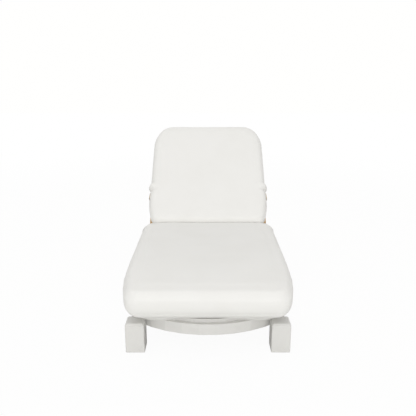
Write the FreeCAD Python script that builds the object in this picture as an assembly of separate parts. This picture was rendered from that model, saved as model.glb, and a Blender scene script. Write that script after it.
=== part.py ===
import FreeCAD, Part
import math
import os

# Spa relaxation lounger in millimetres. Z is up, the foot end faces -Y, the origin is on the floor.
# The back is modelled lying flat with its hinge pin on the origin, then turned and lifted to its place.

V = FreeCAD.Vector
across = V(1, 0, 0)
along = V(0, 1, 0)
up = V(0, 0, 1)
nowhere = V(0, 0, 0)

# Driving sizes of the whole
overallLength = 1900.0
frameWidth = 778.0
frameTop = 150.0
overrun = 2.0
touchGap = 0.3
steelThick = 4.0

# Legs and glides
legWidth = 90.0
legBevel = 9.0
legEdgeBevel = 3.0
legFootBevel = 2.0
glideHeight = 3.0
glideRadius = 28.0
footOverhang = 69.0

# Base rails
railHeight = 55.0
railThick = 24.0
railInset = 21.0
crossRailThick = 32.0
seatCrossRailBack = 330.0
dowelRadius = 6.0
dowelLength = 60.0
dowelSpacing = 26.0

# Bow apron under the foot end, a ring of flat staves
bowClear = 5.915
staveAngle = 9.3
staveThick = 22.0
shelfThick = 18.0
shelfBackSetback = 175.0

# Seat deck
deckThick = 18.0
deckSideInset = 52.0
deckFrontSetback = 45.0
deckRearInset = 24.0
deckCorner = 70.0
ventRadius = 11.0
deckVentRows = 5
deckVentColumns = 3

# Seat cushion
seatOverhang = 19.0
seatCushionHeight = 214.0
seatCushionRear = 34.0
seatFrontCornerAcross = 58.0
seatFrontCornerAlong = 225.0
seatRearCornerAcross = 40.0
seatRearCornerAlong = 100.0
reliefClear = 6.0

# Back hinge
reclineAngle = 39.5
pivotY = 23.3
pivotZ = 239.0
hingePinRadius = 6.0
hingeBushWall = 2.0
runningGap = 0.05
bushFlange = 0.4
sideGap = 0.5
earRadius = 20.0
bracketLength = 92.0
pinHeadRadius = 9.0
pinHeadThick = 4.0
clipThick = 2.0
clipRadius = 10.0

# Oak back frame
stileThick = 31.0
stileDepth = 45.0
stileInset = 13.0
stileSetback = 66.7
stileRound = 4.0
backRailDepth = 32.0
backRailWidth = 42.0
bottomRailPlace = 62.0
lowerRailBeforePin = 103.7
upperRailSetback = 154.0
topRailSetback = 64.0
boardThick = 12.0
boardStart = 62.0
boardSideInset = 31.5
boardCorner = 40.0
boardScrewInset = 14.0
boardVentRows = 4
boardVentColumns = 3

# Back cushion
backCushionOverhang = 4.0
backCushionHeight = 109.0
backCushionStart = 77.0
backCushionOverEnd = 56.0
boardEndShort = 36.0
backTopCornerAcross = 120.0
backTopCornerAlong = 185.0
backLowCornerAcross = 58.0
backLowCornerAlong = 172.0
tuckPlace = 318.0
tuckLength = 26.0
tuckDepth = 2.5
bumpLength = 52.0
bumpHeight = 11.0

# Straps that hold the back cushion to the stiles
strapWidth = 41.0
strapThick = 2.0
strapPlace = 275.0
strapLow = 12.0
strapReach = 98.0
strapLean = 5.0

# Prop and its racks
rackClear = 115.63
propOffsetAngle = 2.4
rackSlope = 5.4
propArmThick = 22.0
propArmDepth = 36.0
propArmInset = 22.0
propPinRadius = 5.0
propBushWall = 1.5
propNutRadius = 8.0
propNutThick = 6.0
footBarRadius = 11.0
footBarEndGap = 3.0
stretcherPlace = 150.0
stretcherWidth = 40.0
stretcherThick = 18.0
rackThick = 18.0
notchPitch = 35.5
notchCount = 6
notchDepth = 9.0
notchRamp = 24.0
notchWall = 7.0
notchLean = 2.0
rackLead = 60.0
rackTail = 42.0

# Rests under the flat back
restSetback = 98.0
restLength = 46.0
padThick = 3.0

# Screws
screwHeadRadius = 5.5
screwHeadHeight = 2.4
hexDrive = 2.0
hexDriveDepth = 1.4

# Worked-out sizes
halfFrame = frameWidth / 2
halfLength = overallLength / 2
halfSeat = halfFrame + seatOverhang
legInner = halfFrame - legWidth
legFront = -halfLength + footOverhang
rearLegFront = halfLength - legWidth
railOuter = halfFrame - railInset
railInner = railOuter - railThick
railLow = frameTop - railHeight
bowDepth = legWidth + bowClear
bowRadius = (legInner * legInner + bowDepth * bowDepth) / (2 * bowDepth)
bowCentre = legFront + bowRadius
deckTop = frameTop + deckThick
bracketTop = frameTop + steelThick
stileOuter = halfFrame - stileInset
stileInner = stileOuter - stileThick
stileLength = halfLength - pivotY - stileSetback
halfBack = stileOuter + backCushionOverhang
backCushionEnd = stileLength + backCushionOverEnd
restPlace = stileLength - restSetback
halfStile = stileDepth / 2
boardLow = halfStile
boardTop = boardLow + boardThick
innerEarOut = stileInner - sideGap
innerEarIn = innerEarOut - steelThick
outerEarIn = stileOuter + sideGap
outerEarOut = outerEarIn + steelThick
propOuter = stileInner - touchGap - propArmInset
propInner = propOuter - propArmThick
flatSlope = math.radians(rackSlope - propOffsetAngle)
flatReach = rearLegFront - pivotY - rackTail - rackClear
propLength = flatReach / (2 * math.cos(flatSlope))
propPinU = propLength * math.cos(math.radians(propOffsetAngle))
propPinW = -propLength * math.sin(math.radians(propOffsetAngle))
spread = reclineAngle - propOffsetAngle + rackSlope
footReach = 2 * propLength * math.cos(math.radians(spread))
backRailPlaces = (
    bottomRailPlace, propPinU - lowerRailBeforePin,
    stileLength - upperRailSetback, stileLength - topRailSetback,
)


def box(x0, x1, y0, y1, z0, z1):
    return Part.makeBox(x1 - x0, y1 - y0, z1 - z0, V(x0, y0, z0))


def rod(radius, x0, x1, y, z):
    return Part.makeCylinder(radius, x1 - x0, V(x0, y, z), across)


def tube(outer, inner, x0, x1, y, z):
    return rod(outer, x0, x1, y, z).cut(rod(inner, x0 - overrun, x1 + overrun, y, z))


def prism(points, start, length):
    """A YZ outline swept along X."""
    face = Part.Face(Part.makePolygon([V(start, y, z) for y, z in points + points[:1]]))
    return face.extrude(V(length, 0, 0))


def mirrored(shape):
    return shape.mirror(nowhere, across)


def placed(shape):
    """Carries a piece of the flat back to its reclined place."""
    shape = shape.copy()
    shape.rotate(nowhere, across, reclineAngle)
    shape.translate(V(0, pivotY, pivotZ))
    return shape


def propPlaced(shape):
    """Carries a prop piece, modelled along +Y from its pin, to its place under the back."""
    shape = shape.copy()
    shape.rotate(nowhere, across, -(rackSlope + spread))
    angle = math.radians(reclineAngle - propOffsetAngle)
    shape.translate(V(0, pivotY + propLength * math.cos(angle), pivotZ + propLength * math.sin(angle)))
    return shape


def cornerArcs(x, y, acrossSize, alongSize, xSign, ySign):
    """Two arcs round an oval corner at x, y, from the side edge to the end edge."""
    spots = []
    for i in range(5):
        angle = math.pi / 8 * i
        s = acrossSize * (1 - math.cos(angle))
        t = alongSize * (1 - math.sin(angle))
        spots.append(V(x - xSign * s, y - ySign * t, 0))
    return [tuple(spots[:3]), tuple(spots[2:])]


def cornerEdges(x, y, size, xSign, ySign):
    return [Part.Arc(*arc).toShape() for arc in cornerArcs(x, y, size[0], size[1], xSign, ySign)]


def tuckedSide(x, y0, y1):
    """A side edge with the strap's notch and the bulge above it."""
    notchEnd = tuckPlace + tuckLength
    bumpEnd = notchEnd + bumpLength
    notch = Part.Arc(V(x, tuckPlace, 0), V(x - tuckDepth, tuckPlace + tuckLength / 2, 0), V(x, notchEnd, 0))
    bump = Part.Arc(V(x, notchEnd, 0), V(x + bumpHeight, notchEnd + bumpLength * bumpPeakShare, 0), V(x, bumpEnd, 0))
    below = Part.LineSegment(V(x, y0, 0), V(x, tuckPlace, 0))
    above = Part.LineSegment(V(x, bumpEnd, 0), V(x, y1, 0))
    return [below.toShape(), notch.toShape(), bump.toShape(), above.toShape()]


def drawnCorner(corner, acrossInset, alongInset):
    """A corner's sizes, smaller where the outline is drawn in."""
    sizes = []
    for size, inset in zip(corner, (acrossInset, alongInset)):
        sizes.append(max(size - inset * cornerShrinkShare, size * cornerLeastShare))
    return sizes


def cushionOutline(halfWidth, start, end, insets, startCorner, endCorner, tuck):
    """The cushion's outline at one height, drawn in at its sides, its start and its end."""
    x = halfWidth - insets[0]
    y0 = start + insets[1]
    y1 = end - insets[2]
    low = drawnCorner(startCorner, insets[0], insets[1])
    high = drawnCorner(endCorner, insets[0], insets[2])
    sideStart = y0 + low[1]
    sideEnd = y1 - high[1]
    if tuck:
        side = tuckedSide(x, sideStart, sideEnd)
    else:
        side = [Part.LineSegment(V(x, sideStart, 0), V(x, sideEnd, 0)).toShape()]
    half = cornerEdges(x, y0, low, 1, -1) + side + cornerEdges(x, y1, high, 1, 1)
    otherHalf = [mirrored(edge) for edge in half]
    front = Part.LineSegment(V(low[0] - x, y0, 0), V(x - low[0], y0, 0)).toShape()
    rear = Part.LineSegment(V(high[0] - x, y1, 0), V(x - high[0], y1, 0)).toShape()
    return Part.Wire(Part.__sortEdges__(half + otherHalf + [front, rear]))


def cushion(halfWidth, start, end, height, startCorner, endCorner, levels, tuck):
    """A soft block: a stack of rounded outlines, drawn in below and crowned above."""
    sections = []
    for share, *insets in levels:
        loop = cushionOutline(halfWidth, start, end, insets, startCorner, endCorner, tuck)
        loop.translate(V(0, 0, height * share))
        sections.append(loop)
    return Part.makeLoft(sections, True, True)


# The soft blocks' outlines: share of the height, then how far the sides, the start and the end are drawn in
cornerShrinkShare = 0.45
cornerLeastShare = 0.4
bumpPeakShare = 0.4
seatLevels = (
    (0, 78, 118, 40), (0.02, 62, 96, 30), (0.056, 48, 72, 20), (0.112, 32, 50, 12), (0.186, 18, 31, 6),
    (0.273, 8, 17, 2), (0.371, 2.5, 6.5, 0), (0.469, 0.5, 1.3, 0), (0.537, 0, 0, 0), (0.7, 0, 0.4, 0),
    (0.74, 0, 2.4, 0), (0.766, 0, 5, 0), (0.806, 0.8, 13, 0), (0.834, 2.5, 27, 1.2), (0.869, 6.2, 62, 6.9),
    (0.893, 9.8, 102, 10.8), (0.93, 19, 182, 16.2), (0.96, 31, 280, 18.7), (0.974, 44, 350, 19.8),
    (0.984, 75, 415, 20.8), (0.995, 130, 490, 22.5), (1, 200, 550, 48),
)
backLevels = (
    (0, 36, 50, 50), (0.05, 22, 31, 31), (0.15, 11, 15.5, 15.5), (0.3, 3, 4.5, 4.5), (0.46, 0, 0, 0),
    (0.6, 0, 0.5, 0.5), (0.72, 3.5, 5, 5), (0.85, 11, 14.5, 14.5), (0.94, 22, 27.5, 27.5), (0.98, 35, 42.5, 42.5),
    (0.995, 55, 62, 65), (1, 85, 85, 100),
)


def leg(front):
    body = box(legInner, halfFrame, front, front + legWidth, glideHeight, frameTop)
    topEdges = [e for e in body.Edges if abs(e.BoundBox.ZMin - frameTop) < touchGap]
    body = body.makeChamfer(legBevel, topEdges)
    footEdges = [e for e in body.Edges if abs(e.BoundBox.ZMax - glideHeight) < touchGap]
    body = body.makeChamfer(legFootBevel, footEdges)
    sideEdges = [e for e in body.Edges if e.BoundBox.ZLength > frameTop / 2]
    return body.makeChamfer(legEdgeBevel, sideEdges)


def dowelHeights():
    middle = (railLow + frameTop) / 2
    return (middle - dowelSpacing / 2, middle + dowelSpacing / 2)


def dowel(faceY, z):
    """A dowel that runs along the side rail, half in the leg."""
    x = (railInner + railOuter) / 2
    return Part.makeCylinder(dowelRadius, dowelLength, V(x, faceY - dowelLength / 2, z), along)


def crossDowel(y, z):
    """A dowel between the rear rail and the rear leg."""
    return rod(dowelRadius, legInner - dowelLength / 2, legInner + dowelLength / 2, y, z)


def screwHead(x, y, z):
    """A low round head with a hexagon drive, looking up."""
    head = Part.makeCylinder(screwHeadRadius, screwHeadHeight, V(x, y, z), up)
    corners = [math.radians(60 * i) for i in range(7)]
    rim = [V(x + hexDrive * math.cos(a), y + hexDrive * math.sin(a), z + screwHeadHeight) for a in corners]
    socket = Part.Face(Part.makePolygon(rim)).extrude(V(0, 0, -hexDriveDepth))
    return head.cut(socket)


def sideScrew(x, y, z, toward):
    """The same head on a face that looks along X."""
    head = screwHead(0, 0, 0)
    head.rotate(nowhere, along, 90 * toward)
    head.translate(V(x, y, z))
    return head


def ventGrid(shape, halfWidth, y0, y1, z0, z1, rows, columns):
    stepX = 2 * halfWidth / (columns + 1)
    stepY = (y1 - y0) / (rows + 1)
    for i in range(columns):
        for j in range(rows):
            spot = V(-halfWidth + stepX * (i + 1), y0 + stepY * (j + 1), z0 - overrun)
            shape = shape.cut(Part.makeCylinder(ventRadius, z1 - z0 + 2 * overrun, spot, up))
    return shape


def roundedBoard(halfWidth, y0, y1, z0, z1, corner):
    board = box(-halfWidth, halfWidth, y0, y1, z0, z1)
    upright = [e for e in board.Edges if e.BoundBox.ZLength > (z1 - z0) / 2]
    return board.makeFillet(corner, upright)


def bowPoints(radius, sideX):
    """The stave polygon's front points, ended at the side rails."""
    halfTurn = math.degrees(math.asin(sideX / radius))
    count = int(halfTurn / staveAngle + 0.5)
    points = []
    for i in range(-count, count):
        angle = math.radians(staveAngle * (i + 0.5))
        points.append((radius * math.sin(angle), bowCentre - radius * math.cos(angle)))
    lastX, lastY = points[-1]
    angle = math.radians(staveAngle * (count + 0.5))
    nextX = radius * math.sin(angle)
    nextY = bowCentre - radius * math.cos(angle)
    share = (sideX - lastX) / (nextX - lastX)
    endY = lastY + (nextY - lastY) * share
    return [(-sideX, endY)] + points + [(sideX, endY)]


def flatFace(points, z):
    return Part.Face(Part.makePolygon([V(x, y, z) for x, y in points + points[:1]]))


def frontApron():
    outer = bowPoints(bowRadius, railInner)
    inner = bowPoints(bowRadius - staveThick, railInner)
    return flatFace(outer + list(reversed(inner)), railLow).extrude(V(0, 0, railHeight))


def frontShelf():
    inner = bowPoints(bowRadius - staveThick, railInner)
    back = legFront + shelfBackSetback
    points = inner + [(railInner, back), (-railInner, back)]
    return flatFace(points, frameTop - shelfThick).extrude(V(0, 0, shelfThick))


def sideRail():
    rail = box(railInner, railOuter, legFront + legWidth, rearLegFront, railLow, frameTop)
    for face in (legFront + legWidth, rearLegFront):
        for z in dowelHeights():
            rail = rail.cut(dowel(face, z))
    return rail


def crossRail(y):
    return box(-railInner, railInner, y, y + crossRailThick, railLow, frameTop)


def rearRailY():
    return rearLegFront + (legWidth - crossRailThick) / 2


def rearRail():
    y = rearRailY()
    rail = box(-legInner, legInner, y, y + crossRailThick, railLow, frameTop)
    for z in dowelHeights():
        hole = crossDowel(y + crossRailThick / 2, z)
        rail = rail.cut(hole).cut(mirrored(hole))
    return rail


def deckRear():
    return seatCushionRear - deckRearInset


def seatDeck():
    front = legFront + deckFrontSetback
    half = railInner - touchGap
    board = roundedBoard(halfFrame - deckSideInset, front, deckRear(), frameTop, deckTop, deckCorner)
    return ventGrid(board, half, front, deckRear(), frameTop, deckTop, deckVentRows, deckVentColumns)


def hingeRelief():
    """The corner cut from the seat cushion's foam round the hinge."""
    x = innerEarIn - clipThick - overrun - reliefClear
    y = pivotY - halfStile - reliefClear
    angle = math.radians(reclineAngle)
    stileTop = pivotZ + (seatCushionRear - pivotY) * math.tan(angle) + halfStile / math.cos(angle)
    return box(x, halfSeat + overrun, y, seatCushionRear + overrun, frameTop, stileTop + reliefClear)


def seatCushion():
    body = cushion(
        halfSeat, -halfLength, seatCushionRear, seatCushionHeight,
        (seatFrontCornerAcross, seatFrontCornerAlong), (seatRearCornerAcross, seatRearCornerAlong),
        seatLevels, False)
    body.translate(V(0, 0, deckTop + touchGap))
    relief = hingeRelief()
    return body.cut(relief).cut(mirrored(relief))


def hingeBracket():
    """A forked steel bracket: a foot on the rail and two ears that hold the pin."""
    foot = box(innerEarIn, outerEarOut, pivotY - bracketLength / 2, pivotY + bracketLength / 2,
               frameTop, bracketTop)
    ears = []
    for x in (innerEarIn, outerEarIn):
        plate = box(x, x + steelThick, pivotY - earRadius, pivotY + earRadius, frameTop, pivotZ)
        ears.append(plate.fuse(rod(earRadius, x, x + steelThick, pivotY, pivotZ)))
    bracket = foot.fuse(ears).removeSplitter()
    return bracket.cut(rod(hingePinRadius, innerEarIn - overrun, outerEarOut + overrun, pivotY, pivotZ))


def hingePin():
    shaft = rod(hingePinRadius, innerEarIn - clipThick - overrun, outerEarOut, pivotY, pivotZ)
    head = rod(pinHeadRadius, outerEarOut, outerEarOut + pinHeadThick, pivotY, pivotZ)
    return shaft.fuse(head).removeSplitter()


def pinClip():
    return tube(clipRadius, hingePinRadius, innerEarIn - clipThick, innerEarIn, pivotY, pivotZ)


def bracketScrews():
    reach = (bracketLength / 2 + earRadius) / 2
    middle = (innerEarIn + outerEarOut) / 2
    return [screwHead(middle, pivotY + way * reach, bracketTop) for way in (-1, 1)]


def hingeBush():
    return tube(hingePinRadius + hingeBushWall, hingePinRadius + runningGap,
                stileInner - bushFlange, stileOuter + bushFlange, 0, 0)


def backStile():
    """An oak stile with a round lower end about the hinge pin, its outer edges rounded."""
    body = box(stileInner, stileOuter, 0, stileLength, -halfStile, halfStile)
    outerEdges = [e for e in body.Edges if e.BoundBox.YLength > halfStile and e.BoundBox.XMin > stileInner + overrun]
    body = body.makeFillet(stileRound, outerEdges)
    body = body.fuse(rod(halfStile, stileInner, stileOuter, 0, 0)).removeSplitter()
    hole = rod(hingePinRadius + hingeBushWall, stileInner - overrun, stileOuter + overrun, 0, 0)
    propHole = rod(propPinRadius, stileInner - overrun, stileOuter + overrun, propPinU, propPinW)
    return body.cut(hole).cut(propHole)


def backRail(u):
    top = boardLow
    return box(-stileInner, stileInner, u, u + backRailWidth, top - backRailDepth, top)


def boardEnd():
    return backCushionEnd - boardEndShort


def backBoard():
    half = halfBack - boardSideInset
    board = roundedBoard(half, boardStart, boardEnd(), boardLow, boardTop, boardCorner)
    return ventGrid(board, half, boardStart, boardEnd(), boardLow, boardTop, boardVentRows, boardVentColumns)


def backCushion():
    body = cushion(
        halfBack, backCushionStart, backCushionEnd, backCushionHeight,
        (backLowCornerAcross, backLowCornerAlong), (backTopCornerAcross, backTopCornerAlong),
        backLevels, True)
    body.translate(V(0, 0, boardTop + touchGap))
    return body


def cushionStrap():
    """A webbing strap from the stile's outer face up past the cushion's side."""
    x = stileOuter + touchGap
    inner = [(x, -strapLow), (x, halfStile), (x + strapLean, strapReach)]
    outer = [(px + strapThick, pz) for px, pz in reversed(inner)]
    face = Part.Face(Part.makePolygon([V(px, strapPlace, pz) for px, pz in inner + outer + inner[:1]]))
    return face.extrude(V(0, strapWidth, 0))


def propPin():
    """A bolt from the stile's outer face to the prop arm's inner face, with its nut."""
    headThick = pinHeadThick
    end = propInner - touchGap - propNutThick
    shaft = rod(propPinRadius, end - overrun, stileOuter, propPinU, propPinW)
    head = rod(propNutRadius, stileOuter, stileOuter + headThick, propPinU, propPinW)
    return shaft.fuse(head).removeSplitter()


def propNut():
    end = propInner - touchGap
    start = end - propNutThick
    corners = [math.radians(60 * i) for i in range(6)]
    rim = [(propPinU + propNutRadius * math.cos(a), propPinW + propNutRadius * math.sin(a)) for a in corners]
    nut = prism(rim, start, propNutThick)
    return nut.cut(rod(propPinRadius, start - overrun, end + overrun, propPinU, propPinW))


def propSpacer():
    return tube(propNutRadius, propPinRadius, propOuter + touchGap, stileInner, propPinU, propPinW)


def propArm():
    """An oak arm with round ends about its pin and the foot bar."""
    half = propArmDepth / 2
    body = box(propInner, propOuter, 0, propLength, -half, half)
    for y in (0, propLength):
        body = body.fuse(rod(half, propInner, propOuter, y, 0))
    body = body.removeSplitter()
    body = body.cut(rod(propPinRadius + propBushWall, propInner - overrun, propOuter + overrun, 0, 0))
    return body.cut(rod(footBarRadius, propInner - overrun, propOuter + overrun, propLength, 0))


def propBush():
    return tube(propPinRadius + propBushWall, propPinRadius + runningGap, propInner, propOuter, 0, 0)


def footBar():
    half = railInner - footBarEndGap
    return rod(footBarRadius, -half, half, propLength, 0)


def propStretcher():
    half = stretcherThick / 2
    return box(-propInner, propInner, stretcherPlace, stretcherPlace + stretcherWidth, -half, half)


def rackPoint(s, h):
    """A point on the sloping foot line from the hinge pin, s along it and h above it."""
    angle = math.radians(-rackSlope)
    y = pivotY + s * math.cos(angle) - h * math.sin(angle)
    z = pivotZ + s * math.sin(angle) + h * math.cos(angle)
    return (y, z)


def rack():
    """A notched rack on the rail's inner face. Each notch has a ramp and a steep rear wall."""
    top = -(footBarRadius + touchGap)
    start = footReach - rackLead
    end = flatReach + rackTail
    head = rackPoint(start, top)
    tail = rackPoint(end, top)
    body = prism([(head[0], railLow), head, tail, (tail[0], railLow)], railInner - rackThick, rackThick)
    for i in range(notchCount):
        s = footReach + notchPitch * i
        points = [
            rackPoint(s - notchRamp, top),
            rackPoint(s + notchWall, top - notchDepth),
            rackPoint(s + notchWall + notchLean, top + notchLean),
            rackPoint(s - notchRamp, top + notchLean),
        ]
        body = body.cut(prism(points, railInner - rackThick - overrun, rackThick + 2 * overrun))
    return body


def rackScrews():
    z = (railLow + frameTop) / 2
    ends = (footReach - rackLead / 2, (footReach + flatReach) / 2, flatReach + rackTail / 2)
    return [sideScrew(railInner - rackThick, rackPoint(s, 0)[0], z, -1) for s in ends]


def restHeights():
    top = pivotZ - halfStile - touchGap
    return (frameTop, top - padThick, top)


def restSpan():
    return (pivotY + restPlace, pivotY + restPlace + restLength)


def restBlock():
    low, high, _ = restHeights()
    y0, y1 = restSpan()
    return box(stileInner, stileOuter, y0, y1, low, high)


def restPad():
    _, low, high = restHeights()
    y0, y1 = restSpan()
    return box(stileInner, stileOuter, y0, y1, low, high)


def boardScrewSpots():
    half = halfBack - boardSideInset - boardScrewInset
    spots = [(x, u + backRailWidth / 2) for u in backRailPlaces for x in (-half, 0, half)]
    return [(x, u, boardTop - screwHeadHeight) for x, u in spots]


def boardRecesses():
    return [Part.makeCylinder(screwHeadRadius, screwHeadHeight, V(*spot), up) for spot in boardScrewSpots()]


def glides():
    half = legWidth / 2
    discs = []
    for y in (legFront + half, rearLegFront + half):
        disc = Part.makeCylinder(glideRadius, glideHeight, V(legInner + half, y, 0), up)
        discs += [disc, mirrored(disc)]
    return discs


def bothSides(shapes):
    return Part.makeCompound(shapes + [mirrored(s) for s in shapes])


def drilled(shape, tools):
    for tool in tools:
        shape = shape.cut(tool)
    return shape


pieces = {}


def addPair(name, shape):
    """Stores a piece for the right side and its mirror for the left."""
    pieces[name + "_right"] = shape
    pieces[name + "_left"] = mirrored(shape)


# Base frame
frontJoint = legFront + legWidth
rearDowels = [dowel(rearLegFront, z) for z in dowelHeights()]
crossDowels = [crossDowel(rearRailY() + crossRailThick / 2, z) for z in dowelHeights()]
frontDowels = [dowel(frontJoint, z) for z in dowelHeights()]
addPair("front_leg", drilled(leg(legFront), frontDowels))
addPair("rear_leg", drilled(leg(rearLegFront), rearDowels + crossDowels))
addPair("side_rail", sideRail())
pieces["leg_glides"] = Part.makeCompound(glides())
pieces["frame_dowels"] = bothSides(frontDowels + rearDowels + crossDowels)
pieces["front_apron"] = frontApron()
pieces["front_shelf"] = frontShelf()
pieces["seat_cross_rail"] = crossRail(-seatCrossRailBack)
pieces["hinge_cross_rail"] = crossRail(deckRear() - crossRailThick)
pieces["rear_rail"] = rearRail()

# Seat
pieces["seat_deck"] = seatDeck()
pieces["seat_cushion"] = seatCushion()

# Hinge and rests
addPair("hinge_bracket", hingeBracket())
addPair("hinge_pin", hingePin())
pieces["hinge_pin_clips"] = bothSides([pinClip()])
pieces["bracket_screws"] = bothSides(bracketScrews())
addPair("prop_rack", rack())
pieces["rack_screws"] = bothSides(rackScrews())
pieces["rest_blocks"] = bothSides([restBlock()])
pieces["rest_pads"] = bothSides([restPad()])

# Back
addPair("back_stile", placed(backStile()))
for name, place in zip(("bottom", "lower", "upper", "top"), backRailPlaces):
    pieces["back_rail_" + name] = placed(backRail(place))
pieces["hinge_bushes"] = bothSides([placed(hingeBush())])
pieces["back_board"] = placed(drilled(backBoard(), boardRecesses()))
pieces["board_screws"] = Part.makeCompound([placed(screwHead(*spot)) for spot in boardScrewSpots()])
pieces["back_cushion"] = placed(backCushion())
pieces["cushion_straps"] = bothSides([placed(cushionStrap())])
addPair("prop_pin", placed(propPin()))
pieces["prop_nuts"] = bothSides([placed(propNut())])
pieces["prop_spacers"] = bothSides([placed(propSpacer())])

# Prop
addPair("prop_arm", propPlaced(propArm()))
pieces["prop_bushes"] = bothSides([propPlaced(propBush())])
pieces["prop_foot_bar"] = propPlaced(footBar())
pieces["prop_stretcher"] = propPlaced(propStretcher())

os.makedirs("parts", exist_ok=True)
for name, shape in pieces.items():
    shape.exportStep("parts/" + name + ".step")
    print(name, len(shape.Solids), round(shape.Volume))
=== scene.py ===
import math

import bmesh
import bpy
import numpy as np
from mathutils import Matrix, Vector
from mathutils.bvhtree import BVHTree


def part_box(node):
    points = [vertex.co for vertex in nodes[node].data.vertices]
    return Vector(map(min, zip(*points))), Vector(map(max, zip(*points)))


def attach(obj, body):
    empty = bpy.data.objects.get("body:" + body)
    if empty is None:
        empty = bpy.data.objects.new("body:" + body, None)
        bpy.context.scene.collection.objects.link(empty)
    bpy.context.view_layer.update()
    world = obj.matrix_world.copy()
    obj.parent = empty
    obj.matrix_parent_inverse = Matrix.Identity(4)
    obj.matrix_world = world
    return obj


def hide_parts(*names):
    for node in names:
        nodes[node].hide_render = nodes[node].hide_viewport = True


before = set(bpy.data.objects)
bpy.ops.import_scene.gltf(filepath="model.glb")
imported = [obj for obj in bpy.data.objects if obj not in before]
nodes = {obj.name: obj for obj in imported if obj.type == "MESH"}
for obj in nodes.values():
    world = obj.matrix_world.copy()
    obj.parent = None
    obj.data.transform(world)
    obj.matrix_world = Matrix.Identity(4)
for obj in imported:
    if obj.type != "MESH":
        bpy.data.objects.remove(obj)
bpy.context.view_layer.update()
print("frame loaded:", len(nodes), "nodes")

# The back lies flat in its own frame: u along Y, w along Z, hinge pin on the origin
hinge = {"pivot": (0, 0.0233, 0.239), "recline": 39.5, "propSlope": -47.9, "rackSlope": -5.4}
backTurn = Matrix.Translation(hinge["pivot"]) @ Matrix.Rotation(math.radians(hinge["recline"]), 4, "X")
backNormal = (0, -math.sin(math.radians(hinge["recline"])), math.cos(math.radians(hinge["recline"])))


# Camera, floor and light

cameraSizes = {"place": (0, -3.0, 1.28), "tilt": 75, "lens": 43.456, "sensor": 36}


def makeCamera():
    data = bpy.data.cameras.new("photoCamera")
    data.lens = cameraSizes["lens"]
    data.sensor_width = cameraSizes["sensor"]
    camera = bpy.data.objects.new("photoCamera", data)
    camera.location = cameraSizes["place"]
    camera.rotation_euler = (math.radians(cameraSizes["tilt"]), 0, 0)
    bpy.context.scene.collection.objects.link(camera)
    bpy.context.scene.camera = camera


makeCamera()
bpy.context.scene.view_settings.view_transform = "Standard"


# Shader maths

class Value:
    def __init__(self, maker, socket):
        self.maker = maker
        self.socket = socket

    def math(self, operation, *others):
        return self.maker.node("ShaderNodeMath", {"operation": operation}, dict(enumerate((self,) + others)))

    def __add__(self, other):
        return self.math("ADD", other)

    def __mul__(self, other):
        return self.math("MULTIPLY", other)

    __radd__ = __add__
    __rmul__ = __mul__

    def __sub__(self, other):
        return self.math("SUBTRACT", other)

    def __rsub__(self, other):
        return self.maker.node("ShaderNodeMath", {"operation": "SUBTRACT"}, {0: other, 1: self})

    def __truediv__(self, other):
        return self.math("DIVIDE", other)

    def __abs__(self):
        return self.math("ABSOLUTE")

    def __gt__(self, other):
        return self.math("GREATER_THAN", other)


class Maker:
    # Builds one material's tree. Settings are set before the sockets.
    def __init__(self, name, tree=None):
        if tree is None:
            self.material = bpy.data.materials.new(name)
            self.material.use_nodes = True
            tree = self.material.node_tree
            self.shader = tree.nodes["Principled BSDF"]
        self.tree = tree
        self.coords = None

    def node(self, kind, settings=None, sockets=None, output=0):
        made = self.tree.nodes.new(kind)
        for key, value in (settings or {}).items():
            setattr(made, key, value)
        for key, value in (sockets or {}).items():
            self.feed(made.inputs[key], value)
        return Value(self, made.outputs[output])

    def feed(self, socket, value):
        if isinstance(value, Value):
            self.tree.links.new(value.socket, socket)
        elif hasattr(value, "__len__") and len(value) == 3 and socket.type == "RGBA":
            socket.default_value = (*value, 1)
        else:
            socket.default_value = value

    def surface(self, **sockets):
        for name, value in sockets.items():
            spaced = "".join(" " + c if c.isupper() else c for c in name).strip()
            self.feed(self.shader.inputs[spaced], value)

    def gloss(self, level):
        self.shader.inputs["Specular IOR Level"].default_value = level

    def mapped(self, vector, socket, value):
        return self.node("ShaderNodeMapping", {"vector_type": "POINT"}, {"Vector": vector, socket: value})

    def place(self, scale=(1, 1, 1), turn=(0, 0, 0)):
        # Object coordinates, turned first and then scaled
        if self.coords is None:
            self.coords = self.node("ShaderNodeTexCoord", output="Object")
        return self.mapped(self.mapped(self.coords, "Rotation", turn), "Scale", scale)

    def noise(self, vector, scale, detail=2.0, roughness=0.5, distortion=0.0):
        return self.node("ShaderNodeTexNoise", {"noise_dimensions": "3D"}, {
            "Vector": vector, "Scale": scale, "Detail": detail, "Roughness": roughness,
            "Distortion": distortion})

    def split(self, vector):
        first = self.node("ShaderNodeSeparateXYZ", None, {0: vector})
        parts = first.socket.node.outputs
        return [Value(self, parts[i]) for i in range(3)]

    def mix(self, factor, low, high):
        # 6, 7 and output 2 are the Mix node's colour sockets
        return self.node("ShaderNodeMix", {"data_type": "RGBA"}, {0: factor, 6: low, 7: high}, 2)

    def smooth(self, value, low, high):
        return self.node("ShaderNodeMapRange", {"interpolation_type": "SMOOTHSTEP"}, {
            "Value": value, "From Min": low, "From Max": high, "To Min": 0.0, "To Max": 1.0})

    def bump(self, height, distance, strength):
        return self.node("ShaderNodeBump", None, {
            "Height": height, "Distance": distance, "Strength": strength})

    def facing(self, direction):
        # How far the object's own normal leans to a direction, from 0 to 1
        normal = self.node("ShaderNodeTexCoord", output="Normal")
        sockets = {0: normal, 1: direction}
        return abs(self.node("ShaderNodeVectorMath", {"operation": "DOT_PRODUCT"}, sockets, "Value"))


# Stage

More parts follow.
